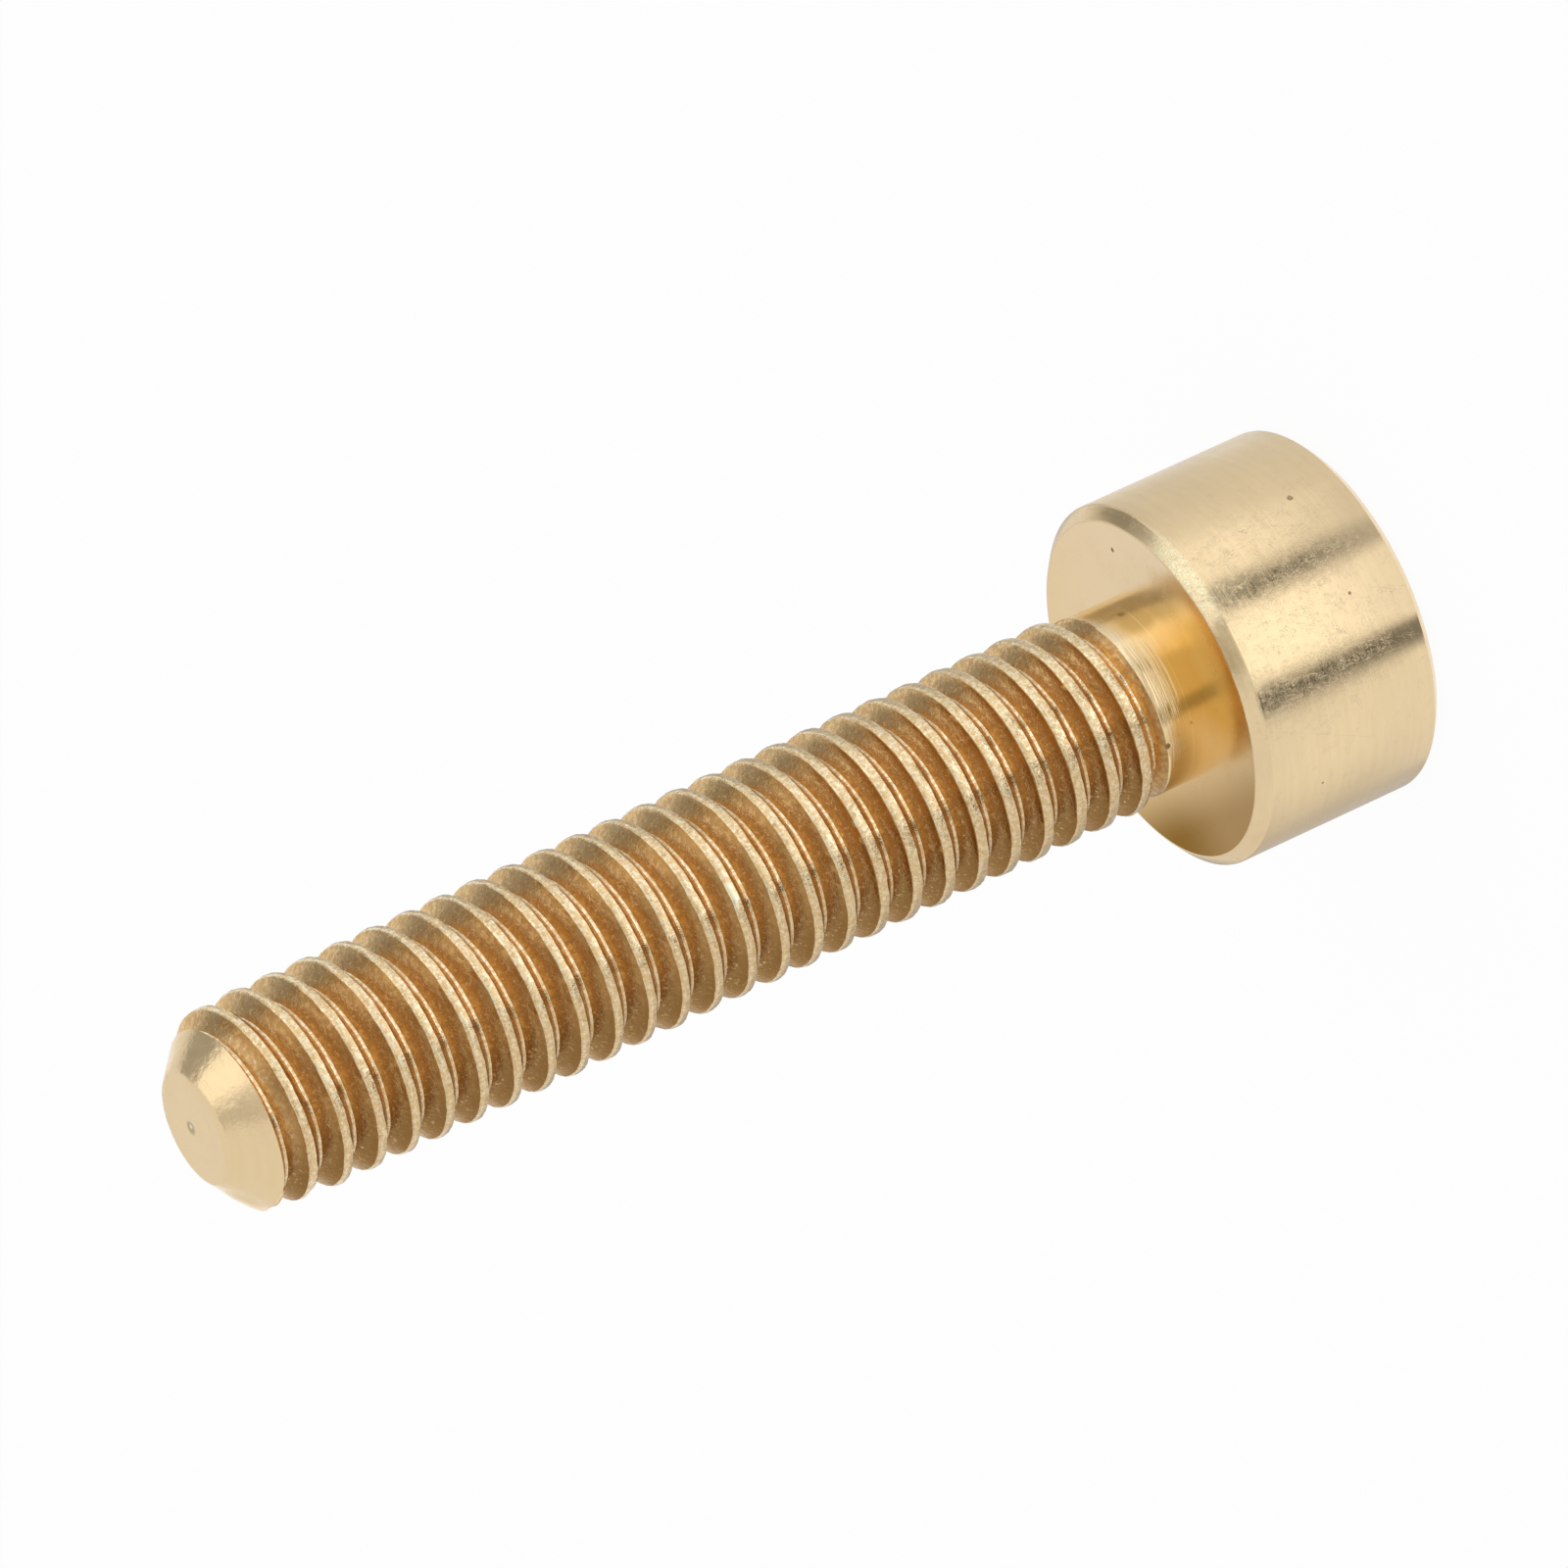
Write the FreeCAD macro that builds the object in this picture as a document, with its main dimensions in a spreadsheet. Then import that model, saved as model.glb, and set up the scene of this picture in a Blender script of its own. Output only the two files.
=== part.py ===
import FreeCAD, Part
import Sketcher
import math
import os

# Socket head cap screw, M4 x 0.7 x 20, turned and rolled in brass, one solid.
# Millimetres. +Z runs from the head to the point. The origin is the centre of the
# ring under the head, so the seat is at z = 0 and the socket's face is below it.

doc = FreeCAD.newDocument("cap_screw_model")

# Driving dimensions, each set by itself
SIZES = {
    "head_diameter": 6.9,
    "head_height": 3.9,
    "seat_chamfer_width": 0.23,
    "seat_chamfer_length": 0.2,
    "top_chamfer_width": 0.2,
    "top_chamfer_length": 0.18,
    "socket_across_flats": 3.0,
    "socket_depth": 2.0,
    "socket_mouth_bevel": 0.05,
    "pilot_allowance": 0.05,
    "drill_point_angle": 120,
    "shank_length": 20.1,
    "neck_diameter": 3.52,
    "neck_length": 1.12,
    "shoulder_length": 0.05,
    "thread_pitch": 0.7,
    "crest_diameter": 3.82,
    "root_diameter": 3.1,
    "thread_angle": 60,
    "groove_overlap": 0.324,
    "groove_overcut": 0.1,
    "point_flat_diameter": 2.09,
    "point_chamfer_length": 0.8,
}

sheet = doc.addObject("Spreadsheet::Sheet", "sizes")
for row, (alias, number) in enumerate(SIZES.items(), start=1):
    sheet.set(f"A{row}", alias)
    sheet.set(f"B{row}", str(number))
    sheet.setAlias(f"B{row}", alias)
doc.recompute()


class Size:
    """A length or ratio worked out from the sheet, kept as its number and as its expression."""

    def __init__(self, number, expression):
        self.number = number
        self.expression = expression

    def __add__(self, other):
        return Size(self.number + other.number, f"({self.expression} + {other.expression})")

    def __sub__(self, other):
        return Size(self.number - other.number, f"({self.expression} - {other.expression})")

    def __mul__(self, other):
        return Size(self.number * other.number, f"({self.expression} * {other.expression})")

    def __truediv__(self, other):
        return Size(self.number / other.number, f"({self.expression} / {other.expression})")

    def __neg__(self):
        return Size(-self.number, f"(-{self.expression})")


def size(alias):
    return Size(SIZES[alias], f"sizes.{alias}")


def plain(number):
    return Size(number, repr(number))


def half_angle_slope(alias):
    """The tangent of half the angle that a cell holds in degrees."""
    radians = math.radians(SIZES[alias] / 2)
    return Size(math.tan(radians), f"tan(sizes.{alias} / 2 * 1 deg)")


ZERO = plain(0.0)
TWO = plain(2.0)

head_radius = size("head_diameter") / TWO
neck_radius = size("neck_diameter") / TWO
crest_radius = size("crest_diameter") / TWO
root_radius = size("root_diameter") / TWO
point_radius = size("point_flat_diameter") / TWO
socket_flat = size("socket_across_flats") / TWO
socket_corner = socket_flat * TWO / plain(math.sqrt(3))
pilot_radius = socket_flat - size("pilot_allowance")
mouth_radius = socket_corner + size("socket_mouth_bevel")
socket_face = -size("head_height")
thread_end = size("shank_length") - size("point_chamfer_length")


def origin_part(body, role):
    """One of the body's own origin planes or axes."""
    return [part for part in body.Origin.OriginFeatures if part.Role == role][0]


def outline(body, name, plane, corners):
    """A closed outline of straight lines, each corner held at (across, up) from the origin."""
    sketch = body.newObject("Sketcher::SketchObject", name)
    sketch.AttachmentSupport = [(origin_part(body, plane), "")]
    sketch.MapMode = "FlatFace"
    points = [FreeCAD.Vector(across.number, up.number, 0) for across, up in corners]
    for first, second in zip(points, points[1:] + points[:1]):
        sketch.addGeometry(Part.LineSegment(first, second), False)
    for edge in range(len(corners)):
        after = (edge + 1) % len(corners)
        sketch.addConstraint(Sketcher.Constraint("Coincident", edge, 2, after, 1))
    for edge, (across, up) in enumerate(corners):
        for kind, axis, place in (("DistanceX", -2, across), ("DistanceY", -1, up)):
            if place is ZERO:
                sketch.addConstraint(Sketcher.Constraint("PointOnObject", edge, 1, axis))
                continue
            held = Sketcher.Constraint(kind, -1, 1, edge, 1, place.number)
            number = sketch.addConstraint(held)
            sketch.setExpression(f"Constraints[{number}]", place.expression)
    return sketch


def turned(body, kind, name, profile):
    """A full turn of a profile about the screw's axis, added or cut."""
    feature = body.newObject(kind, name)
    feature.Profile = profile
    feature.ReferenceAxis = (origin_part(body, "Z_Axis"), [""])
    feature.Angle = 360
    profile.Visibility = False
    return feature


def changed_volume(body, before, name, sign):
    """Stop when a feature did not add (+1) or did not cut (-1)."""
    doc.recompute()
    after = body.Shape.Volume
    if sign * (after - before) <= 0:
        raise RuntimeError(f"{name} changed nothing")
    return after


screw = doc.addObject("PartDesign::Body", "cap_screw")
screw.Label = "cap_screw"

# The blank: head with its two chamfers, neck, threaded length before the groove, point
blank_profile = outline(screw, "blank_profile", "XZ_Plane", [
    (ZERO, socket_face),
    (head_radius - size("top_chamfer_width"), socket_face),
    (head_radius, socket_face + size("top_chamfer_length")),
    (head_radius, -size("seat_chamfer_length")),
    (head_radius - size("seat_chamfer_width"), ZERO),
    (neck_radius, ZERO),
    (neck_radius, size("neck_length")),
    (crest_radius, size("neck_length") + size("shoulder_length")),
    (crest_radius, thread_end),
    (point_radius, size("shank_length")),
    (ZERO, size("shank_length")),
])
turned(screw, "PartDesign::Revolution", "blank", blank_profile)
volume = changed_volume(screw, 0.0, "blank", 1)

# The pilot hole under the socket, with its countersunk mouth and drilled end
drill_slope = half_angle_slope("drill_point_angle")
socket_floor = socket_face + size("socket_depth")
pilot_profile = outline(screw, "pilot_profile", "XZ_Plane", [
    (ZERO, socket_face),
    (mouth_radius, socket_face),
    (pilot_radius, socket_face + (mouth_radius - pilot_radius) / drill_slope),
    (pilot_radius, socket_floor),
    (ZERO, socket_floor + pilot_radius / drill_slope),
])
turned(screw, "PartDesign::Groove", "pilot_hole", pilot_profile)
volume = changed_volume(screw, volume, "pilot_hole", -1)

# The hexagon socket, driven in from the head's flat face
hexagon = outline(screw, "socket_profile", "XY_Plane", [
    (ZERO, socket_corner),
    (-socket_flat, socket_corner / TWO),
    (-socket_flat, -socket_corner / TWO),
    (ZERO, -socket_corner),
    (socket_flat, -socket_corner / TWO),
    (socket_flat, socket_corner / TWO),
])
hexagon.setExpression("AttachmentOffset.Base.z", "-sizes.head_height")
socket = screw.newObject("PartDesign::Pocket", "hex_socket")
socket.Profile = hexagon
socket.setExpression("Length", "sizes.socket_depth")
socket.Reversed = True
hexagon.Visibility = False
volume = changed_volume(screw, volume, "hex_socket", -1)

# The rolled thread: one right-hand groove with 60 degree flanks. It starts in the neck
# at the back and runs out through the point.
cut_radius = crest_radius + size("groove_overcut")
half_mouth = (cut_radius - root_radius) * half_angle_slope("thread_angle")
groove_middle = size("neck_length") - size("groove_overlap")
groove_profile = outline(screw, "groove_profile", "YZ_Plane", [
    (root_radius, groove_middle),
    (cut_radius, groove_middle - half_mouth),
    (cut_radius, groove_middle + half_mouth),
])
groove = screw.newObject("PartDesign::SubtractiveHelix", "thread")
groove.Profile = groove_profile
groove.ReferenceAxis = (origin_part(screw, "Z_Axis"), [""])
groove.Mode = "pitch-height-angle"
groove.LeftHanded = False
groove.setExpression("Pitch", "sizes.thread_pitch")
groove_height = size("shank_length") - groove_middle + size("thread_pitch")
groove.setExpression("Height", groove_height.expression)
groove_profile.Visibility = False
changed_volume(screw, volume, "thread", -1)

screw.Placement = FreeCAD.Placement(FreeCAD.Vector(0, 0, 0), FreeCAD.Rotation())
doc.recompute()

# Nothing is written unless every object is sound and the screw is one valid solid
for item in doc.Objects:
    if "Invalid" in item.State or "Error" in item.State:
        raise RuntimeError(f"{item.Name} failed: {item.State}")
if screw.Shape.isNull() or not screw.Shape.isValid() or len(screw.Shape.Solids) != 1:
    raise RuntimeError("the screw is not one valid solid")

os.makedirs("parts", exist_ok=True)
screw.Shape.exportStep(f"parts/{screw.Label}.step")
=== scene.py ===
import math

import bmesh
import bpy
from mathutils import Matrix, Quaternion, Vector, noise


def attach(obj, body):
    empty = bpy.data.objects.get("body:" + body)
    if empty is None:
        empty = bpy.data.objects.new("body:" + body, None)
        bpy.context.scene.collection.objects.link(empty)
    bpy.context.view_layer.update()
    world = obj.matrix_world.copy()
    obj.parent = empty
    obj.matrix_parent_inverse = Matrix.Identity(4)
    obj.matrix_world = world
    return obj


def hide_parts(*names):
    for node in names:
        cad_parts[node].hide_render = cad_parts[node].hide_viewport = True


# A brass socket head cap screw standing on its head. Sizes are in millimetres until a mesh
# is made, and z runs from the head (below zero) to the point.

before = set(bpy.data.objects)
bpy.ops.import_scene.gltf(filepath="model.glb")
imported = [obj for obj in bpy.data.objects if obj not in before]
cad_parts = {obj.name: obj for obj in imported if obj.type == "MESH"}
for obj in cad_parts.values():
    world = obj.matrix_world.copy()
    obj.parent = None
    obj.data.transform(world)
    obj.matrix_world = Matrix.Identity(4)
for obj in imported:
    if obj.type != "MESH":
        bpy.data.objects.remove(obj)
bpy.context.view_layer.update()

MM = 0.001
HEAD_RADIUS = 3.45
HEAD_HEIGHT = 3.9
SEAT_BEVEL = 0.23
SEAT_BEVEL_HEIGHT = 0.2
END_BEVEL = 0.2
END_BEVEL_HEIGHT = 0.18
EDGE_ROUND = 0.03
SOCKET_FLAT = 1.5
SOCKET_DEPTH = 2.0
SOCKET_BEVEL = 0.05
NECK_RADIUS = 1.76
NECK_LENGTH = 1.0
SHANK_LENGTH = 20.1
PITCH = 0.7
CREST_RADIUS = 1.905
CREST_MIDDLE = 0.335
ROOT_RADIUS = 1.57
ROOT_HALF = 0.030
ROOT_SAG = 0.004
FIRST_GROOVE = 0.601
FIRST_TURN = -2
TURNS = 32
RUN_OUT_START = 0.621
RUN_OUT = PITCH / 2
POINT_RADIUS = 1.045
POINT_LENGTH = 0.8
CONE_BASE_RADIUS = 1.91
RIM_HALF = 0.06
SHANK_COLUMNS = 180
HEAD_COLUMNS = 192
WELD = 0.0004
FLOOR_GAP = 0.02


# Meshes

def piece_from_grid(name, columns, climb, finishes, finish_of, sharp):
    """A closed skin from columns of points, each shared row by row with the next column.

    Each column is a list of (radius, z, on an edge). The last column joins the first one, whose
    rows are the same ones `climb` further on, as the thread climbs in a turn. Where an edge
    crosses a face from corner to corner, the face is split along it. Edges over `sharp` degrees
    stay sharp.
    """
    mesh = bmesh.new()
    step = 2 * math.pi / len(columns)
    grid = [[mesh.verts.new((r * math.cos(step * n) * MM, r * math.sin(step * n) * MM, z * MM))
             for r, z, edge in column] for n, column in enumerate(columns)]
    next_grid = grid[1:] + [grid[0][climb:]]
    next_columns = columns[1:] + [columns[0][climb:]]
    for verts, next_verts, points, next_points in zip(grid, next_grid, columns, next_columns):
        for row in range(min(len(verts), len(next_verts)) - 1):
            corners = [verts[row], next_verts[row], next_verts[row + 1], verts[row + 1]]
            places = [points[row], next_points[row], next_points[row + 1], points[row + 1]]
            if places[0][2] and places[2][2] and not places[1][2]:
                parts = [(corners[:3], places[:2]), ([corners[0]] + corners[2:], places[2:])]
            elif places[1][2] and places[3][2] and not places[0][2]:
                parts = [(corners[:2] + corners[3:], places[:2]), (corners[1:], places[2:])]
            else:
                parts = [(corners, [places[0], places[3]])]
            for part, (low, high) in parts:
                mesh.faces.new(part).material_index = finish_of(row, low, high)
    bmesh.ops.remove_doubles(mesh, verts=mesh.verts, dist=WELD * MM)
    bmesh.ops.recalc_face_normals(mesh, faces=mesh.faces)
    data = bpy.data.meshes.new(name)
    mesh.to_mesh(data)
    mesh.free()
    for finish in finishes:
        data.materials.append(finish)
    data.shade_smooth()
    data.set_sharp_from_angle(angle=math.radians(sharp))
    piece = bpy.data.objects.new(name, data)
    bpy.context.scene.collection.objects.link(piece)
    return piece


def eased(corners, radius):
    """The outline with each of its corners cut into a short round of three points."""
    bulge = 0.29
    outline = [corners[0]]
    for before, corner, after in zip(corners, corners[1:], corners[2:]):
        back = (Vector(before) - Vector(corner)).normalized() * radius
        on = (Vector(after) - Vector(corner)).normalized() * radius
        outline += [tuple(Vector(corner) + step) for step in (back, (back + on) * bulge, on)]
    outline.append(corners[-1])
    return outline


def smooth_step(low, high, value):
    """The value's place between low and high, eased, from 0 to 1."""
    part = min(max((value - low) / (high - low), 0.0), 1.0)
    return part * part * (3 - 2 * part)


def on_side(angle, z, radius):
    """A place on a round side of the screw, by its angle in degrees."""
    return (radius * math.cos(math.radians(angle)), radius * math.sin(math.radians(angle)), z)


# Thread

FLANK, CREST, ROOT = 0, 1, 2

# What the point's cone gains in radius, and its side in length, for each step below the flat.
CONE_SLOPE = (CONE_BASE_RADIUS - POINT_RADIUS) / POINT_LENGTH
CONE_SIDE = math.hypot(1.0, CONE_SLOPE)

# The places where the point's lip is rubbed down and pressed outwards, and by how much.
WORN_LIP = Vector(on_side(-170, 19.3, 1.9))
WORN_LIP_DEPTH = 0.09
PRESSED_LIP = Vector(on_side(-198, 19.65, 1.53))
PRESSED_LIP_RISE = 0.06

# How far rolling tore the metal up and down, and pushed it along.
CREST_TEAR = 0.016
CREST_LEAN = 0.022
FLANK_TEAR = 0.006

# From the crest's middle: the square shoulder towards the head, and the worn one towards the point.
CREST_OUTLINE = [(-0.085, -0.012), (-0.075, 0.0), (-0.04, 0.003), (0.0, 0.002), (0.036, -0.003),
                 (0.060, -0.013), (0.078, -0.030)]
CREST_FOOT = (0.095, -0.055)


def thread_section():
    """One pitch of the thread from a groove's middle to the next: (distance along, radius, kind)."""
    crest = [(CREST_MIDDLE + along, CREST_RADIUS + rise, CREST) for along, rise in CREST_OUTLINE]
    foot = (CREST_MIDDLE + CREST_FOOT[0], CREST_RADIUS + CREST_FOOT[1], FLANK)
    near_root = (ROOT_HALF, ROOT_RADIUS, FLANK)
    far_root = (PITCH - ROOT_HALF, ROOT_RADIUS, FLANK)

    def flank(start, end, parts):
        return [(start[0] + (end[0] - start[0]) * part, start[1] + (end[1] - start[1]) * part, FLANK)
                for part in parts]

    return ([(0.0, ROOT_RADIUS - ROOT_SAG, ROOT)] + flank(near_root, crest[0], (0.0, 0.33, 0.66)) + crest
            + flank(foot, far_root, (0.0, 0.25, 0.5, 0.75, 1.0)))


THREAD_SECTION = thread_section()


def worn(radius, z, angle, kind):
    """The thread's radius and height with the unevenness that rolling left."""
    place = Vector((radius * math.cos(angle), radius * math.sin(angle), z))
    tear = noise.noise(place * 6.0) * 0.6 + noise.noise(place * 14.0) * 0.4
    lean = noise.noise(place * 2.6 + Vector((9, 3, 1))) * 0.6 + noise.noise(place * 6.5) * 0.4
    if kind == CREST:
        # The crests stand lower towards the head, and lower still in the last turn.
        sunk = 0.02 * (1 - smooth_step(9.0, 14.0, z)) + 0.04 * smooth_step(18.4, 19.1, z)
        flattened = WORN_LIP_DEPTH * (1 - smooth_step(0.3, 1.0, (place - WORN_LIP).length))
        return radius + CREST_TEAR * tear - sunk - flattened, z + CREST_LEAN * lean
    return radius + FLANK_TEAR * tear, z + FLANK_TEAR * lean


def shank_columns():
    """The shank's lines of points, each a little further up the thread than the one before."""
    foot = CREST_MIDDLE + CREST_FOOT[0]
    columns = []
    for number in range(SHANK_COLUMNS):
        part = number / SHANK_COLUMNS
        places = []
        for turn in range(TURNS):
            start = FIRST_GROOVE + PITCH * (FIRST_TURN + turn + part)
            # Towards the head the crests are wider on their worn side.
            wider = 0.03 * (1 - smooth_step(6.0, 8.5, start))
            for along, radius, kind in THREAD_SECTION:
                on_worn_side = CREST_MIDDLE < along <= foot
                places.append((start + along + wider * on_worn_side, radius, kind))
        places.append((FIRST_GROOVE + PITCH * (FIRST_TURN + TURNS + part), ROOT_RADIUS, FLANK))
        columns.append(shank_column(places, 2 * math.pi * part))
    return columns


def cone_radius(z, angle=0.0):
    """The point's cone, pressed a little outwards at the lower lip."""
    radius = POINT_RADIUS + (SHANK_LENGTH - z) * CONE_SLOPE
    place = Vector((radius * math.cos(angle), radius * math.sin(angle), z))
    return radius + PRESSED_LIP_RISE * (1 - smooth_step(0.15, 0.55, (place - PRESSED_LIP).length))


def shank_column(places, angle):
    """One line of points up the shank and over its flat end, at one angle."""
    column = []
    for z, radius, kind in places:
        if 0.0 < z < SHANK_LENGTH:
            start = RUN_OUT_START + (RUN_OUT if radius > NECK_RADIUS else 0.0)
            radius = NECK_RADIUS + (radius - NECK_RADIUS) * smooth_step(start, start + RUN_OUT, z)
            if z > NECK_LENGTH:
                radius, z = worn(radius, z, angle, kind)
        column.append([radius, z, False])
    for row in range(len(column) - 1):
        low, high = column[row], column[row + 1]
        before = cone_radius(low[1], angle) - low[0]
        after = cone_radius(high[1], angle) - high[0]
        near_cone = low[1] > SHANK_LENGTH - 1.5 * POINT_LENGTH and high[1] < SHANK_LENGTH
        if near_cone and before * after < 0:
            part = before / (before - after)
            meeting = [low[0] + (high[0] - low[0]) * part, low[1] + (high[1] - low[1]) * part, True]
            column[row if part < 0.5 else row + 1] = meeting
    for edge in (0.0, SHANK_LENGTH):
        nearest = min(range(len(column)), key=lambda row: abs(column[row][1] - edge))
        column[nearest] = [column[nearest][0], edge, True]
    return [on_shank(*place, angle) for place in column]


def on_shank(radius, z, edge, angle):
    """The place moved on to the neck's foot, the point's cone or its flat, whose rim is rounded."""
    if z <= 0.0:
        return NECK_RADIUS, 0.0, edge
    from_rim = (z - SHANK_LENGTH) * (1.0 if z > SHANK_LENGTH else CONE_SIDE)
    if abs(from_rim) < RIM_HALF:
        part = (from_rim + RIM_HALF) / (2 * RIM_HALF)
        outside, inside = (1 - part) ** 2 * RIM_HALF, part ** 2 * RIM_HALF
        return (POINT_RADIUS + outside * CONE_SLOPE / CONE_SIDE - inside,
                SHANK_LENGTH - outside / CONE_SIDE, edge)
    if z >= SHANK_LENGTH:
        return max(POINT_RADIUS - (z - SHANK_LENGTH), 0.0), SHANK_LENGTH, edge
    return min(radius, cone_radius(z, angle)), z, edge


def shank_finish(row, low, high):
    """Neck 0, flank 1, crest 2, point 3, root 4."""
    rim_reach = 0.08
    cone_slack = 0.004
    radius, z = (low[0] + high[0]) / 2, (low[1] + high[1]) / 2
    if z >= SHANK_LENGTH - rim_reach or radius > cone_radius(z) - cone_slack:
        return 3
    if z < NECK_LENGTH:
        return 0
    kinds = {THREAD_SECTION[number % len(THREAD_SECTION)][2] for number in (row, row + 1)}
    if ROOT in kinds:
        return 4
    return 2 if kinds == {CREST} else 1


# Head

def hexagon_radius(angle):
    """The distance from the axis to the socket's wall."""
    return SOCKET_FLAT / math.cos((angle + math.pi / 6) % (math.pi / 3) - math.pi / 6)


def head_columns():
    """The head's lines of points, from the neck over the outside and down into the socket."""
    face = -HEAD_HEIGHT
    floor = face + SOCKET_DEPTH
    mouth = SOCKET_FLAT * 2 / math.sqrt(3) + SOCKET_BEVEL
    pilot = SOCKET_FLAT - 0.05
    outside = eased([
        (NECK_RADIUS - 0.02, 0.0),
        (HEAD_RADIUS - SEAT_BEVEL, 0.0),
        (HEAD_RADIUS, -SEAT_BEVEL_HEIGHT),
        (HEAD_RADIUS, face + END_BEVEL_HEIGHT),
        (HEAD_RADIUS - END_BEVEL, face),
        (mouth, face),
    ], EDGE_ROUND)
    columns = []
    for number in range(HEAD_COLUMNS):
        wall = hexagon_radius(2 * math.pi * number / HEAD_COLUMNS)
        inside = [(wall, face + (mouth - wall) / math.sqrt(3)), (wall, floor), (pilot, floor),
                  (0.0, floor + pilot / math.sqrt(3))]
        columns.append([(radius, z, False) for radius, z in outside + inside])
    return columns


def head_finish(row, low, high):
    """Seat 0, turned side 1, end and socket 2."""
    seat_from = -0.001
    side_from = HEAD_RADIUS - SEAT_BEVEL - 0.01
    if min(low[1], high[1]) > seat_from:
        return 0
    if min(low[0], high[0]) > side_from:
        return 1
    return 2


# Nodes

def node(tree, kind, inputs, **settings):
    """A node of one kind, with its inputs set to numbers or linked to other nodes' outputs."""
    made = tree.nodes.new("ShaderNode" + kind)
    for name, value in settings.items():
        setattr(made, name, value)
    for name, value in inputs.items():
        if isinstance(value, bpy.types.NodeSocket):
            tree.links.new(value, made.inputs[name])
        else:
            made.inputs[name].default_value = value
    return made


def worked_out(tree, operation, first, second=0.0):
    return node(tree, "Math", {0: first, 1: second}, operation=operation).outputs[0]


def sum_of(tree, first, second):
    return worked_out(tree, "ADD", first, second)


def product(tree, first, second):
    return worked_out(tree, "MULTIPLY", first, second)


def any_of(tree, masks):
    """The strongest of several masks at each place."""
    strongest = masks[0]
    for mask in masks[1:]:
        strongest = worked_out(tree, "MAXIMUM", strongest, mask)
    return strongest


def between(tree, value, low, high, start=0.0, end=1.0):
    """The value's place between low and high, eased, as a number from start to end."""
    return node(tree, "MapRange", {"Value": value, "From Min": low, "From Max": high,
                                   "To Min": start, "To Max": end},
                interpolation_type="SMOOTHSTEP").outputs["Result"]


def tinted(tree, share, first, second):
    """The first colour, with a share of the second mixed in."""
    mixed = node(tree, "Mix", {}, data_type="RGBA")
    for name, value in (("Factor", share), ("A", first), ("B", second)):
        socket = [s for s in mixed.inputs if s.name == name and s.enabled][0]
        if isinstance(value, bpy.types.NodeSocket):
            tree.links.new(value, socket)
        else:
            socket.default_value = value
    return [s for s in mixed.outputs if s.enabled][0]


def millimetres(tree):
    """The place on the screw in millimetres."""
    place = node(tree, "TexCoord", {}).outputs["Object"]
    return node(tree, "VectorMath", {0: place, "Scale": 1000.0}, operation="SCALE").outputs[0]


def place_parts(tree):
    """The place on the screw as X, Y and Z."""
    return node(tree, "SeparateXYZ", {0: millimetres(tree)}).outputs


def from_axis(tree, place):
    """The distance of a place on the screw from its axis."""
    flat = node(tree, "CombineXYZ", {"X": place["X"], "Y": place["Y"]}).outputs[0]
    return node(tree, "VectorMath", {0: flat}, operation="LENGTH").outputs["Value"]


# Effects that several finishes share

def effect(name, inputs, outputs):
    """A shader node group with named inputs and number outputs, and its two ends."""
    group = bpy.data.node_groups.new(name, "ShaderNodeTree")
    for label, value in inputs.items():
        kind = "NodeSocketVector" if isinstance(value, tuple) else "NodeSocketFloat"
        group.interface.new_socket(label, in_out="INPUT", socket_type=kind).default_value = value
    for label in outputs:
        group.interface.new_socket(label, in_out="OUTPUT", socket_type="NodeSocketFloat")
    return group, group.nodes.new("NodeGroupInput").outputs, group.nodes.new("NodeGroupOutput").inputs


def turning_marks():
    """Fine rings that a lathe tool, a brush or a rolling die leaves around the axis."""
    group, given, result = effect("turning marks", {"Spacing": 12.0, "Around": 0.35}, ["Height", "Shade"])
    place = place_parts(group)
    along = sum_of(group, place["Z"], product(group, from_axis(group, place), -0.6))
    stretched = node(group, "CombineXYZ", {
        "X": product(group, place["X"], given["Around"]),
        "Y": product(group, place["Y"], given["Around"]),
        "Z": product(group, along, given["Spacing"]),
    }).outputs[0]
    rings = node(group, "TexNoise", {"Vector": stretched, "Scale": 1.0, "Detail": 5.0, "Roughness": 0.72})
    group.links.new(rings.outputs["Fac"], result["Height"])
    coarse = node(group, "VectorMath", {0: stretched, 1: (1.7, 1.7, 0.45)},
                  operation="MULTIPLY").outputs[0]
    bands = node(group, "TexNoise", {"Vector": coarse, "Scale": 1.0, "Detail": 3.0, "Roughness": 0.6})
    group.links.new(between(group, bands.outputs["Fac"], 0.3, 0.7), result["Shade"])
    return group


def patches():
    """Soft uneven patches, such as tarnish or rolled grain, from 0 to 1."""
    group, given, result = effect("patches", {"Size": 1.0, "Low": 0.4, "High": 0.65, "Shift": 0.0},
                                  ["Mask"])
    spread = node(group, "VectorMath", {0: millimetres(group), 1: given["Shift"]},
                  operation="ADD").outputs[0]
    scale = worked_out(group, "DIVIDE", 1.0, given["Size"])
    cloud = node(group, "TexNoise", {"Vector": spread, "Scale": scale, "Detail": 5.0, "Roughness": 0.62})
    group.links.new(between(group, cloud.outputs["Fac"], given["Low"], given["High"]), result["Mask"])
    return group


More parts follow.
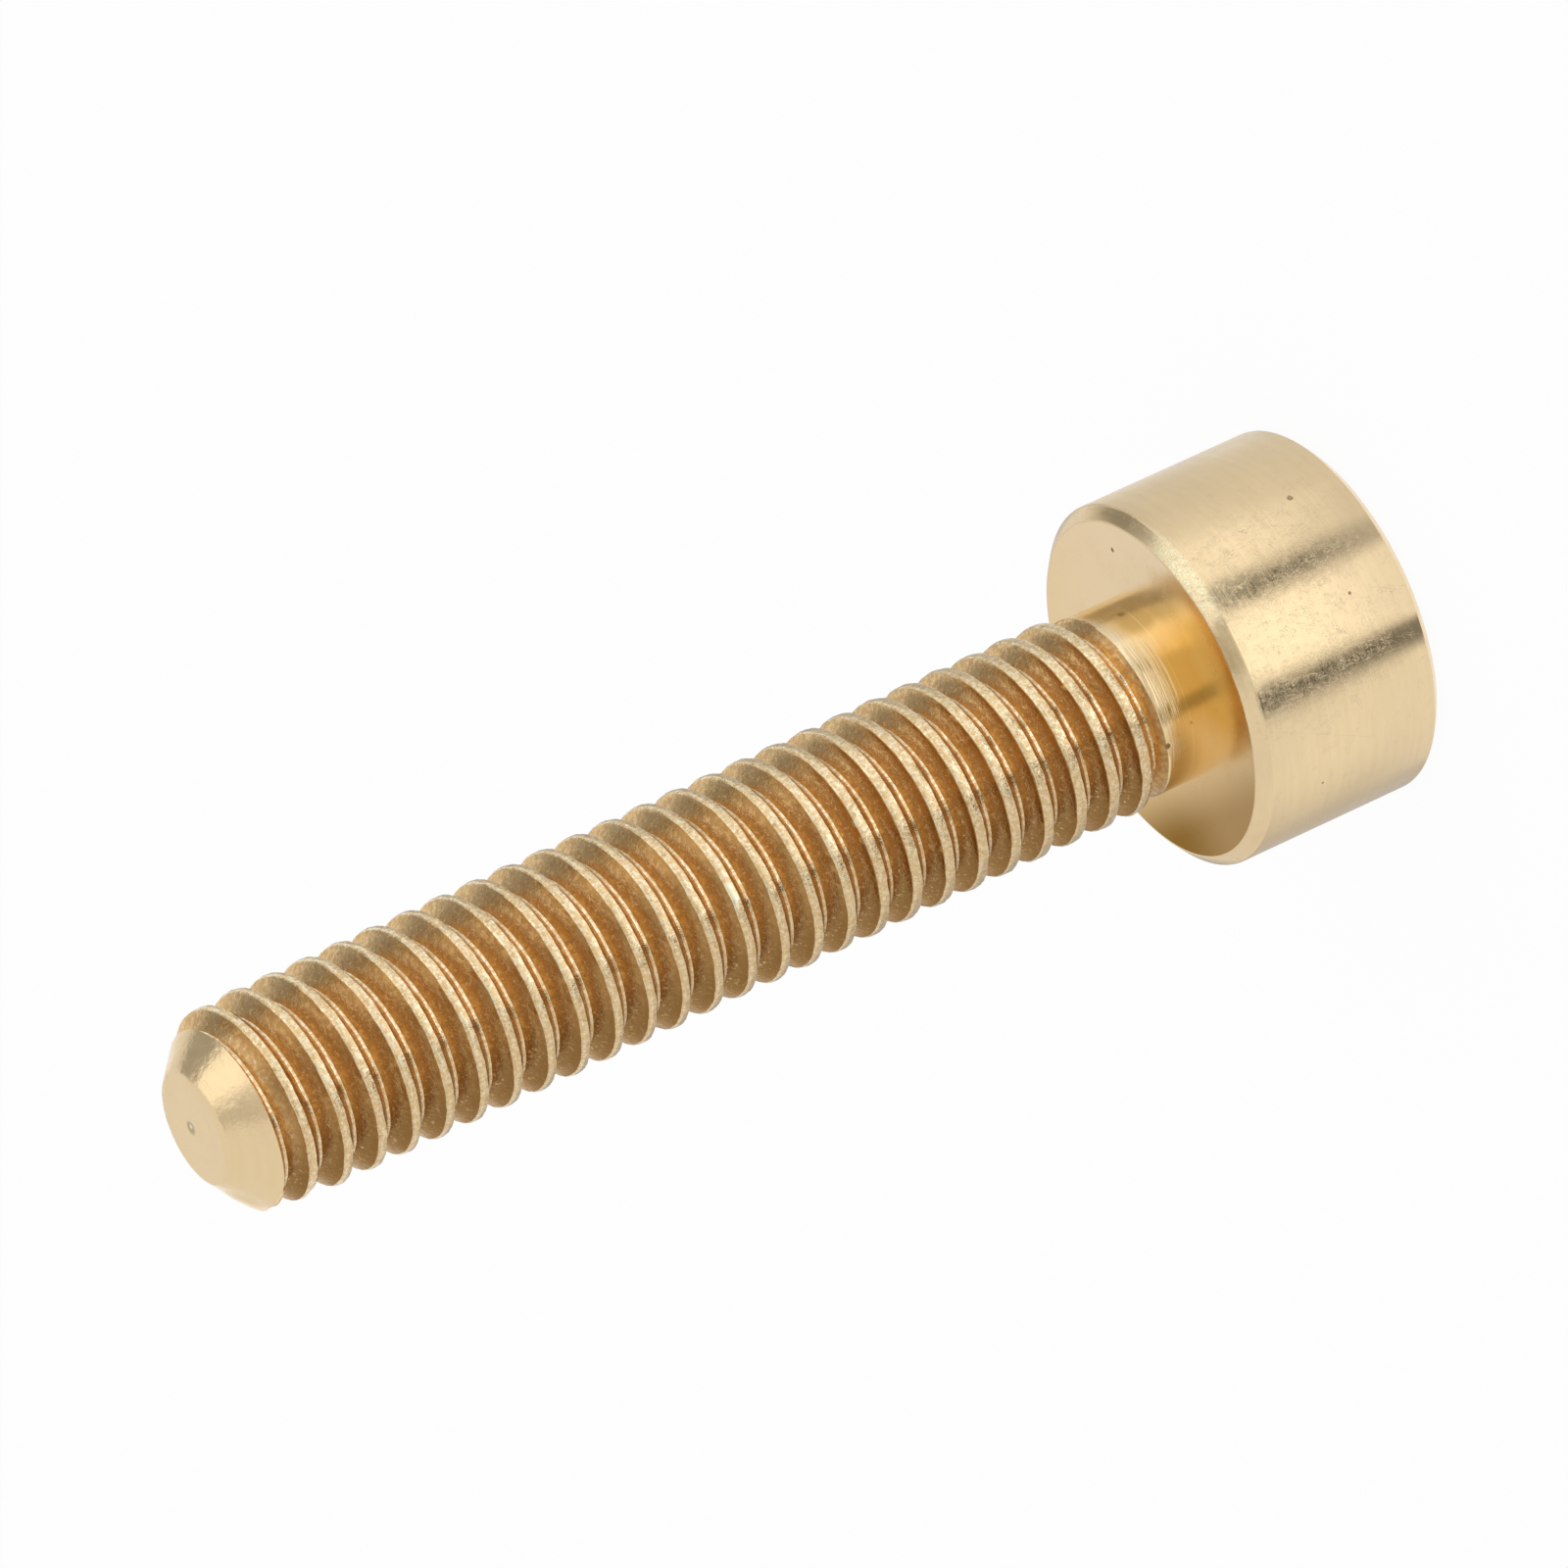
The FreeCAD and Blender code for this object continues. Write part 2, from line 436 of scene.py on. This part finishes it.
def scratches():
    """Fine straight scratches across the surface in one direction."""
    group, given, result = effect("scratches", {"Direction": (0.0, 0.6, 0.4), "Length": 1.4,
                                                "Width": 0.06, "Amount": 0.5}, ["Mask"])
    place = millimetres(group)
    turned_round = node(group, "VectorRotate", {"Vector": place, "Rotation": given["Direction"]},
                        rotation_type="EULER_XYZ").outputs[0]
    along = worked_out(group, "DIVIDE", 1.0, given["Length"])
    stretch = node(group, "CombineXYZ", {"X": along, "Y": 16.0, "Z": 16.0}).outputs[0]
    drawn = node(group, "VectorMath", {0: turned_round, 1: stretch}, operation="MULTIPLY").outputs[0]
    lines = node(group, "TexNoise", {"Vector": drawn, "Scale": 1.0, "Detail": 2.0, "Roughness": 0.5})
    away = worked_out(group, "ABSOLUTE", worked_out(group, "SUBTRACT", lines.outputs["Fac"], 0.5))
    thin = between(group, away, 0.0, product(group, given["Width"], 0.2), 1.0, 0.0)
    area = node(group, "TexNoise", {"Vector": drawn, "Scale": 0.31, "Detail": 1.0})
    start = sum_of(group, 0.75, product(group, given["Amount"], -0.4))
    kept = between(group, area.outputs["Fac"], start, 0.8)
    group.links.new(product(group, thin, kept), result["Mask"])
    return group


def spot():
    """A soft round mark at one place on the screw, 1 at its centre."""
    group, given, result = effect("spot", {"Centre": (0.0, 0.0, 0.0), "Radius": 0.1}, ["Mask"])
    apart = node(group, "VectorMath", {0: millimetres(group), 1: given["Centre"]}, operation="DISTANCE")
    full_until = product(group, given["Radius"], 0.45)
    mask = between(group, apart.outputs["Value"], full_until, given["Radius"], 1.0, 0.0)
    group.links.new(mask, result["Mask"])
    return group


EFFECTS = {
    "turning marks": turning_marks(),
    "patches": patches(),
    "scratches": scratches(),
    "spot": spot(),
}


def placed(tree, name, **values):
    """One of the shared effects, placed in a finish with its own values."""
    made = tree.nodes.new("ShaderNodeGroup")
    made.node_tree = EFFECTS[name]
    for label, value in values.items():
        made.inputs[label].default_value = value
    return made.outputs


def patchy(tree, size, low, high, shift=0.0):
    return placed(tree, "patches", Size=size, Low=low, High=high, Shift=shift)["Mask"]


def spots(tree, places):
    """Round marks from (angle, z, distance from the axis, size)."""
    return any_of(tree, [placed(tree, "spot", Centre=on_side(angle, z, radius), Radius=size)["Mask"]
                         for angle, z, radius, size in places])


# Finishes

BRASS = (0.93, 0.725, 0.44, 1)
PALE_BRASS = (1.0, 0.89, 0.66, 1)
TORN_BRASS = (1.0, 0.89, 0.63, 1)
DEEP_BRASS = (0.86, 0.65, 0.37, 1)
BROWN = (0.40, 0.20, 0.06, 1)
PIT = (0.27, 0.17, 0.08, 1)


def bare_metal(name):
    """A new metal finish, with its nodes and its shader."""
    finish = bpy.data.materials.new(name)
    finish.use_nodes = True
    shader = finish.node_tree.nodes["Principled BSDF"]
    shader.inputs["Metallic"].default_value = 1.0
    return finish, finish.node_tree, shader


def layered(tree, colour, layers):
    """The colour with each (mask, share, other colour) laid over it in turn."""
    for mask, share, other in layers:
        colour = tinted(tree, product(tree, mask, share), colour, other)
    return colour


def weighed(tree, parts):
    """The sum of (height, weight), each height times its weight."""
    total = product(tree, *parts[0])
    for part in parts[1:]:
        total = sum_of(tree, total, product(tree, *part))
    return total


def surfaced(tree, shader, colour, roughness, height, depth):
    """Links a finish's colour, its roughness and the height it follows, depth in millimetres."""
    tree.links.new(colour, shader.inputs["Base Color"])
    tree.links.new(roughness, shader.inputs["Roughness"])
    bump = node(tree, "Bump", {"Height": height, "Strength": 1.0, "Distance": depth * MM})
    tree.links.new(bump.outputs["Normal"], shader.inputs["Normal"])


def drawn_lines(tree, length, ways):
    """Scratches of one length in several ways, each (lean, turn, amount)."""
    return any_of(tree, [placed(tree, "scratches", Direction=(0.0, lean, turn), Length=length, Width=0.05,
                                Amount=amount)["Mask"] for lean, turn, amount in ways])


def turned_head_side():
    finish, tree, shader = bare_metal("turned head side")
    place = place_parts(tree)
    marks = placed(tree, "turning marks", Spacing=14.0, Around=0.35)
    cloudy = patchy(tree, 1.6, 0.35, 0.7)
    drawn = drawn_lines(tree, 1.4, [(1.2, 0.3, 0.4), (0.9, 1.9, 0.35), (1.5, 2.6, 0.3)])
    # Painted shade: the head's side turns darker towards -X.
    painted_shade_minus_x = between(tree, place["X"], -2.7, -3.4)
    handled = spots(tree, [(-84, -1.2, HEAD_RADIUS, 3.0)])
    nicks = drawn_lines(tree, 1.0, [(0.4, 0.9, 0.7), (1.1, 2.3, 0.7), (1.5, 0.2, 0.8)])
    knocks = product(tree, handled, nicks)
    scuffed = product(tree, handled, patchy(tree, 0.35, 0.35, 0.65, 9.0))
    from_edge = worked_out(tree, "ABSOLUTE", sum_of(tree, place["Z"], 0.13))
    # Crumbled metal by the seat's edge around -61 degrees; its pale colours are partly a painted
    # highlight of the key softbox.
    near_edge = sum_of(tree, between(tree, from_edge, 0.2, 0.04),
                       product(tree, patchy(tree, 0.12, 0.35, 0.65, 4.0), 0.45))
    crumbled_and_highlit = product(tree, between(tree, near_edge, 0.62, 0.78),
                       spots(tree, [(-61, -0.2, HEAD_RADIUS, 1.3)]))
    grains = patchy(tree, 0.045, 0.42, 0.58, 13.0)
    crumbs_and_highlight = tinted(tree, grains, (1.0, 0.80, 0.46, 1), (1.0, 0.92, 0.65, 1))
    grimy = product(tree, between(tree, place["Z"], -0.24, -0.18),
                    spots(tree, [(-22, -0.1, HEAD_RADIUS - 0.1, 1.0),
                                 (-89, -0.1, HEAD_RADIUS - 0.1, 0.6)]))
    # Painted dark reflection streaks along the side near the seat, broken into patches.
    painted_dark_streaks = product(tree, patchy(tree, 0.12, 0.3, 0.6, 21.0),
                   spots(tree, [(-73.5, -0.5, HEAD_RADIUS, 0.42), (-74, -0.95, HEAD_RADIUS, 0.36),
                                (-106.8, -0.5, HEAD_RADIUS, 0.4), (-81, -0.1, HEAD_RADIUS, 0.2)]))
    pits = spots(tree, [(-53.5, -2.7, HEAD_RADIUS, 0.07), (-88.5, -2.65, HEAD_RADIUS, 0.035),
                        (-143, -1.3, HEAD_RADIUS, 0.03)])
    colour = layered(tree, BRASS, [
        (marks["Shade"], 0.35, DEEP_BRASS),
        (cloudy, 0.35, (0.83, 0.65, 0.41, 1)),
        (drawn, 0.35, PALE_BRASS),
        (painted_shade_minus_x, 0.5, (0.80, 0.58, 0.32, 1)),
        (knocks, 0.6, PALE_BRASS),
        (crumbled_and_highlit, 0.9, crumbs_and_highlight),
        (grimy, 0.5, (0.50, 0.37, 0.18, 1)),
        (painted_dark_streaks, 0.6, (0.45, 0.37, 0.23, 1)),
        (pits, 0.7, PIT),
    ])
    height = weighed(tree, [
        (marks["Height"], 1.0),
        (drawn, -0.7),
        (scuffed, 0.25),
        (knocks, -0.7),
        (product(tree, crumbled_and_highlit, grains), 0.25),
        (pits, -3.0),
    ])
    rough = sum_of(tree, between(tree, marks["Height"], 0.2, 0.8, 0.12, 0.26),
                   product(tree, cloudy, 0.05))
    surfaced(tree, shader, colour, rough, height, 0.006)
    return finish


def polished_seat():
    finish, tree, shader = bare_metal("polished seat")
    place = place_parts(tree)
    marks = placed(tree, "turning marks", Spacing=16.0, Around=0.25)
    cloudy = patchy(tree, 0.8, 0.4, 0.75)
    pit = spots(tree, [(-20.6, 0.0, 2.69, 0.06)])
    # Painted reflection: a golden tint round the neck's foot, where the polished seat mirrors the neck.
    painted_light_by_neck = spots(tree, [(-95, 0.0, 2.6, 1.8)])
    # Towards -X the seat turns darker and browner, first by the neck and then further out: partly
    # tarnish, partly painted shade.
    below_neck = between(tree, place["X"], -0.6, -1.8)
    browned_and_shaded = product(tree, between(tree, place["X"], -1.4, -2.7),
                      between(tree, place["Y"], -0.6, 1.6, 0.68, 1.0))
    shader.inputs["Specular Tint"].default_value = (1.0, 0.8, 0.5, 1)
    colour = layered(tree, (0.93, 0.765, 0.54, 1), [
        (cloudy, 0.2, (0.86, 0.67, 0.43, 1)),
        (painted_light_by_neck, 0.85, (0.78, 0.51, 0.155, 1)),
        (below_neck, 0.6, (0.78, 0.54, 0.26, 1)),
        (browned_and_shaded, 1.0, (0.26, 0.135, 0.04, 1)),
        (pit, 1.0, PIT),
    ])
    height = weighed(tree, [(marks["Height"], 1.0), (pit, -3.0)])
    surfaced(tree, shader, colour, between(tree, cloudy, 0.0, 1.0, 0.22, 0.30), height, 0.0003)
    return finish


def polished_neck():
    finish, tree, shader = bare_metal("polished neck")
    place = place_parts(tree)
    radius = from_axis(tree, place)
    marks = placed(tree, "turning marks", Spacing=16.0, Around=0.25)
    cloudy = patchy(tree, 0.8, 0.4, 0.75)
    # Painted highlight: a bright band down the neck around -74 degrees.
    front = product(tree, spots(tree, [(-74, 0.8, NECK_RADIUS, 1.5)]),
                    between(tree, place["Z"], -0.1, 0.7))
    shaded = spots(tree, [(-46, 0.3, NECK_RADIUS, 0.46)])
    fine_rings = placed(tree, "turning marks", Spacing=22.0, Around=0.1)["Height"]
    tooled = product(tree, spots(tree, [(-84, 0.8, NECK_RADIUS, 1.0)]),
                     between(tree, place["Z"], 0.38, 0.46))
    tool_lines = product(tree, tooled, between(tree, fine_rings, 0.45, 0.6))
    ring = between(tree, worked_out(tree, "ABSOLUTE", sum_of(tree, place["Z"], -0.3)), 0.02, 0.0)
    smudge = spots(tree, [(-36, 0.42, NECK_RADIUS, 0.09), (-118, 0.3, NECK_RADIUS, 0.04)])
    grain = patchy(tree, 0.10, 0.38, 0.62, 5.0)
    groove = between(tree, radius, NECK_RADIUS - 0.003, NECK_RADIUS - 0.016)
    groove_metal = tinted(tree, grain, (0.56, 0.33, 0.13, 1), (0.42, 0.23, 0.08, 1))
    first_crest = product(tree, between(tree, place["Z"], 0.85, NECK_LENGTH),
                          between(tree, radius, NECK_RADIUS - 0.02, NECK_RADIUS - 0.005))
    pit = spots(tree, [(-126, 0.84, NECK_RADIUS, 0.08)])
    colour = layered(tree, (0.95, 0.74, 0.41, 1), [
        (front, 1.0, (0.98, 0.84, 0.57, 1)),
        (shaded, 0.7, (0.68, 0.54, 0.26, 1)),
        (marks["Shade"], 0.2, (0.84, 0.60, 0.29, 1)),
        (tool_lines, 0.4, (0.72, 0.50, 0.23, 1)),
        (ring, 0.7, PALE_BRASS),
        (smudge, 0.5, BROWN),
        (groove, 1.0, groove_metal),
        (first_crest, grain, TORN_BRASS),
        (pit, 1.0, PIT),
    ])
    height = weighed(tree, [
        (marks["Height"], 1.0),
        (tool_lines, 2.0),
        (any_of(tree, [groove, first_crest]), grain),
        (pit, -3.0),
    ])
    surfaced(tree, shader, colour, between(tree, cloudy, 0.0, 1.0, 0.13, 0.20), height, 0.002)
    return finish


def browned_thread_flank():
    finish, tree, shader = bare_metal("browned thread flank")
    place = place_parts(tree)
    radius = from_axis(tree, place)
    streaks = placed(tree, "turning marks", Spacing=10.0, Around=3.0)
    fine = patchy(tree, 0.10, 0.38, 0.62, 5.0)
    flecks = patchy(tree, 0.08, 0.57, 0.65, 11.0)
    deep = between(tree, radius, 1.84, 1.60)
    # Painted light: the flanks turn lighter towards +X.
    painted_highlight = between(tree, place["X"], 1.3, 1.8)
    # Painted shade: the flanks turn darker and browner towards -X.
    browned_and_shaded = between(tree, place["X"], -0.5, -1.7)
    # Painted highlight on the flanks near the neck that face the head, which the seat mirrors.
    facing = node(tree, "SeparateXYZ", {0: node(tree, "TexCoord", {}).outputs["Normal"]}).outputs["Z"]
    painted_light_by_neck = product(tree, between(tree, facing, -0.1, -0.5), between(tree, place["Z"], 1.8, 1.2))
    along_cone = sum_of(tree, radius, product(tree, place["Z"], CONE_SLOPE))
    cone = POINT_RADIUS + SHANK_LENGTH * CONE_SLOPE
    turned = between(tree, along_cone, cone - 0.09, cone - 0.02)
    shader.inputs["Specular Tint"].default_value = (1.0, 0.85, 0.65, 1)
    colour = layered(tree, (0.52, 0.29, 0.10, 1), [
        (streaks["Shade"], 0.5, (0.40, 0.205, 0.065, 1)),
        (deep, 0.75, (0.84, 0.58, 0.29, 1)),
        (painted_highlight, 0.8, (0.96, 0.72, 0.41, 1)),
        (fine, 0.4, (0.34, 0.17, 0.05, 1)),
        (browned_and_shaded, 0.9, (0.26, 0.127, 0.038, 1)),
        (flecks, between(tree, deep, 0.0, 1.0, 0.12, 0.6), (1.0, 0.74, 0.38, 1)),
        (turned, 0.95, BRASS),
        (painted_light_by_neck, 0.9, (0.92, 0.68, 0.36, 1)),
    ])
    height = weighed(tree, [(streaks["Height"], 1.2), (fine, 1.0), (flecks, 0.6)])
    surfaced(tree, shader, colour, between(tree, fine, 0.0, 1.0, 0.16, 0.28), height, 0.0018)
    return finish


def torn_thread_top(name, metal, depth):
    """The thread's crest, or the flat of its root: rolled metal that sparkles."""
    finish, tree, shader = bare_metal(name)
    grain = patchy(tree, 0.18, 0.3, 0.7, 3.0)
    bright = patchy(tree, 0.075, 0.46, 0.54, 8.0)
    dark = patchy(tree, 0.10, 0.58, 0.66, 17.0)
    # Painted shade: the crests and roots turn browner towards -X.
    browned_and_shaded = between(tree, place_parts(tree)["X"], -0.1, -1.3)
    # A smoother patch on one crest, with a painted highlight in its paler colour.
    painted_highlight = spots(tree, [(-93, 9.94, CREST_RADIUS, 0.20), (-98, 9.94, CREST_RADIUS, 0.24)])
    colour = layered(tree, metal, [
        (bright, 0.7, TORN_BRASS),
        (dark, 0.55, (0.48, 0.30, 0.12, 1)),
        (browned_and_shaded, 0.35, (0.60, 0.37, 0.15, 1)),
        (painted_highlight, 0.9, (1.0, 0.91, 0.66, 1)),
    ])
    height = weighed(tree, [(grain, 1.0), (bright, 0.3)])
    height = product(tree, height, between(tree, painted_highlight, 0.0, 1.0, 1.0, 0.3))
    surfaced(tree, shader, colour, between(tree, bright, 0.0, 1.0, 0.20, 0.11), height, depth)
    return finish


def turned_point():
    finish, tree, shader = bare_metal("turned point")
    marks = placed(tree, "turning marks", Spacing=10.0, Around=0.5)
    cloudy = patchy(tree, 0.5, 0.35, 0.7)
    uneven = patchy(tree, 0.28, 0.3, 0.7, 2.0)
    centre = spots(tree, [(68, SHANK_LENGTH, 0.11, 0.17)])
    raised = spots(tree, [(50, SHANK_LENGTH, 0.10, 0.06)])
    colour = layered(tree, (0.93, 0.715, 0.42, 1), [
        (marks["Shade"], 0.3, DEEP_BRASS),
        (centre, 0.75, (0.42, 0.30, 0.13, 1)),
        (raised, 0.8, PALE_BRASS),
    ])
    height = weighed(tree, [(marks["Height"], 1.0), (cloudy, 1.0), (uneven, 0.8), (centre, -3.0)])
    surfaced(tree, shader, colour, between(tree, cloudy, 0.0, 1.0, 0.17, 0.27), height, 0.004)
    return finish


def pressed_socket():
    finish, tree, shader = bare_metal("pressed socket")
    cloudy = patchy(tree, 0.5, 0.35, 0.7)
    colour = layered(tree, (0.86, 0.66, 0.40, 1), [(cloudy, 0.4, (0.76, 0.56, 0.31, 1))])
    surfaced(tree, shader, colour, between(tree, cloudy, 0.0, 1.0, 0.22, 0.34), cloudy, 0.003)
    return finish


shank = piece_from_grid("threaded_shank", shank_columns(), len(THREAD_SECTION), [
    polished_neck(),
    browned_thread_flank(),
    torn_thread_top("torn thread crest", (0.82, 0.59, 0.31, 1), 0.006),
    turned_point(),
    torn_thread_top("rolled thread root", (0.76, 0.52, 0.26, 1), 0.003),
], shank_finish, 36)
head = piece_from_grid("socket_head", head_columns(), 0, [
    polished_seat(),
    turned_head_side(),
    pressed_socket(),
], head_finish, 24)
for piece in (shank, head):
    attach(piece, "root")
    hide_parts("cap_screw")


# Floor, light and camera. Lamps and cards are placed and sized in metres.

STUDIO_MIDDLE = Vector((0, 0, 8.0)) * MM
ROOM_LEVEL = 0.8
CAMERA_PLACE = Vector((1.176, -269.198, 130.323)) * MM
CAMERA_TILT = 65.43
CAMERA_ROLL = -114.6
CAMERA_LENS = 388.2


def flat_sheet(name, width, height, z=0.0):
    """A mesh of one flat rectangle that faces up, at height z; all in metres."""
    mesh = bpy.data.meshes.new(name)
    w, h = width / 2, height / 2
    mesh.from_pydata([(-w, -h, z), (w, -h, z), (w, h, z), (-w, h, z)], [], [(0, 1, 2, 3)])
    return mesh


def stage_floor():
    """A pale floor: nearly all white to the camera and in the metal, and the rest takes the shadow."""
    side = 6.0
    mesh = flat_sheet("pale floor", side, side, -(HEAD_HEIGHT + FLOOR_GAP) * MM)
    floor = bpy.data.objects.new("pale_floor", mesh)
    bpy.context.scene.collection.objects.link(floor)
    surface = bpy.data.materials.new("pale floor")
    surface.use_nodes = True
    tree = surface.node_tree
    tree.nodes.clear()
    path = node(tree, "LightPath", {}).outputs
    seen = any_of(tree, [path["Is Camera Ray"], path["Is Glossy Ray"], path["Is Transmission Ray"]])
    share = product(tree, seen, 0.94)
    paint = node(tree, "BsdfDiffuse", {"Color": (0.95, 0.95, 0.95, 1)}).outputs[0]
    glow = node(tree, "Emission", {"Color": (1, 1, 1, 1)}).outputs[0]
    lit = node(tree, "MixShader", {"Fac": share, 1: paint, 2: glow}).outputs[0]
    below = node(tree, "NewGeometry", {}).outputs["Backfacing"]
    clear = node(tree, "BsdfTransparent", {}).outputs[0]
    both = node(tree, "MixShader", {"Fac": below, 1: lit, 2: clear}).outputs[0]
    node(tree, "OutputMaterial", {"Surface": both})
    mesh.materials.append(surface)


def towards(azimuth, elevation):
    """The direction from the screw to a place in the studio."""
    around, up = math.radians(azimuth), math.radians(elevation)
    return Vector((math.cos(up) * math.cos(around), math.cos(up) * math.sin(around), math.sin(up)))


def hang(holder, azimuth, elevation, distance, roll=0.0):
    """Hangs a lamp or card in the studio so that it faces the screw."""
    way = towards(azimuth, elevation)
    holder.location = way * distance + STUDIO_MIDDLE
    turn = way.to_track_quat("Z", "Y") @ Quaternion((0, 0, 1), math.radians(roll))
    holder.rotation_euler = turn.to_euler()
    holder.visible_camera = False


def softbox(name, azimuth, elevation, distance, width, height, roll, level):
    """A soft lamp; level is the brightness that it adds to the room's, where 1 is white."""
    lamp = bpy.data.lights.new(name, "AREA")
    lamp.shape = "RECTANGLE"
    lamp.size = width
    lamp.size_y = height
    lamp.energy = level * math.pi * width * height
    holder = bpy.data.objects.new(name, lamp)
    hang(holder, azimuth, elevation, distance, roll)
    bpy.context.scene.collection.objects.link(holder)


def grey_card(name, mesh, tone):
    """A card that only shiny metal sees. Its tone is a number, or the name of its points' own tones."""
    held = bpy.data.objects.new(name, mesh)
    held.visible_camera = False
    held.visible_diffuse = False
    held.visible_shadow = False
    bpy.context.scene.collection.objects.link(held)
    surface = bpy.data.materials.new(name)
    surface.use_nodes = True
    tree = surface.node_tree
    tree.nodes.clear()
    if isinstance(tone, str):
        tone = node(tree, "Attribute", {}, attribute_name=tone).outputs["Fac"]
    glow = node(tree, "Emission", {"Strength": tone}).outputs[0]
    node(tree, "OutputMaterial", {"Surface": glow})
    mesh.materials.append(surface)
    return held


def hung_card(name, azimuth, elevation, distance, width, height, tone):
    """A card that hangs in the studio and faces the screw."""
    hang(grey_card(name, flat_sheet(name, width, height), tone), azimuth, elevation, distance)


def floor_cards(name, cards):
    """Cards laid on the floor round the head, blended into each other.

    A card is (first angle, last angle, tone at the head, tone, tone further out). The angles are
    those of the place on the head's side that mirrors it.
    """
    rings = (0.0, 4.0, 12.0, 18.0, 60.0)
    mesh = bmesh.new()
    layer = mesh.verts.layers.float.new("tone")
    spokes = []
    for first, last, near, middle, far in cards:
        for angle in (first, last):
            foot = Vector(on_side(angle, -HEAD_HEIGHT - FLOOR_GAP / 2, HEAD_RADIUS))
            spoke = []
            for reach, tone in zip(rings, (near, middle, middle, far, far)):
                vert = mesh.verts.new((foot + Vector(on_side(2 * angle + 90, 0.0, reach))) * MM)
                vert[layer] = tone
                spoke.append(vert)
            spokes.append(spoke)
    for spoke, next_spoke in zip(spokes, spokes[1:]):
        for ring in range(len(rings) - 1):
            mesh.faces.new((spoke[ring], spoke[ring + 1], next_spoke[ring + 1], next_spoke[ring]))
    data = bpy.data.meshes.new(name)
    mesh.to_mesh(data)
    mesh.free()
    grey_card(name, data, "tone")


stage_floor()
floor_cards("floor_cards", [
    (0, -4, 0.84, 0.84, 0.55),
    (-20, -34, 0.72, 0.70, 0.50),
    (-50, -51, 0.72, 0.80, 0.80),
    (-56, -68.5, 0.70, 1.05, 1.15),
    (-73, -76.5, 0.55, 0.0, 1.10),
    (-80, -101.5, 0.88, 1.25, 1.28),
    (-104, -108.5, 0.25, 0.0, 0.12),
    (-113, -134, 0.86, 0.88, 0.80),
    (-160, -180, 0.60, 0.58, 0.50),
])
softbox("key_softbox", -31, 42, 0.6, 0.42, 0.76, -26, 0.35)
hung_card("side_card", 31, 30, 0.7, 0.45, 0.46, 0.37)
hung_card("top_card", -100, 74, 0.7, 0.26, 0.30, 0.56)
hung_card("front_card", -122, 24, 0.8, 0.22, 0.45, 0.40)

world = bpy.data.worlds.new("studio")
world.use_nodes = True
world.node_tree.nodes["Background"].inputs["Color"].default_value = (1, 1, 1, 1)
world.node_tree.nodes["Background"].inputs["Strength"].default_value = ROOM_LEVEL
bpy.context.scene.world = world

camera_data = bpy.data.cameras.new("camera")
camera_data.lens = CAMERA_LENS
camera_data.sensor_width = 36.0
camera_data.clip_start = 0.01
camera_data.clip_end = 20.0
camera = bpy.data.objects.new("camera", camera_data)
camera.matrix_world = (Matrix.Translation(CAMERA_PLACE)
                       @ Matrix.Rotation(math.radians(CAMERA_TILT), 4, "X")
                       @ Matrix.Rotation(math.radians(CAMERA_ROLL), 4, "Z"))
bpy.context.scene.collection.objects.link(camera)
bpy.context.scene.camera = camera
bpy.context.scene.view_settings.view_transform = "Standard"
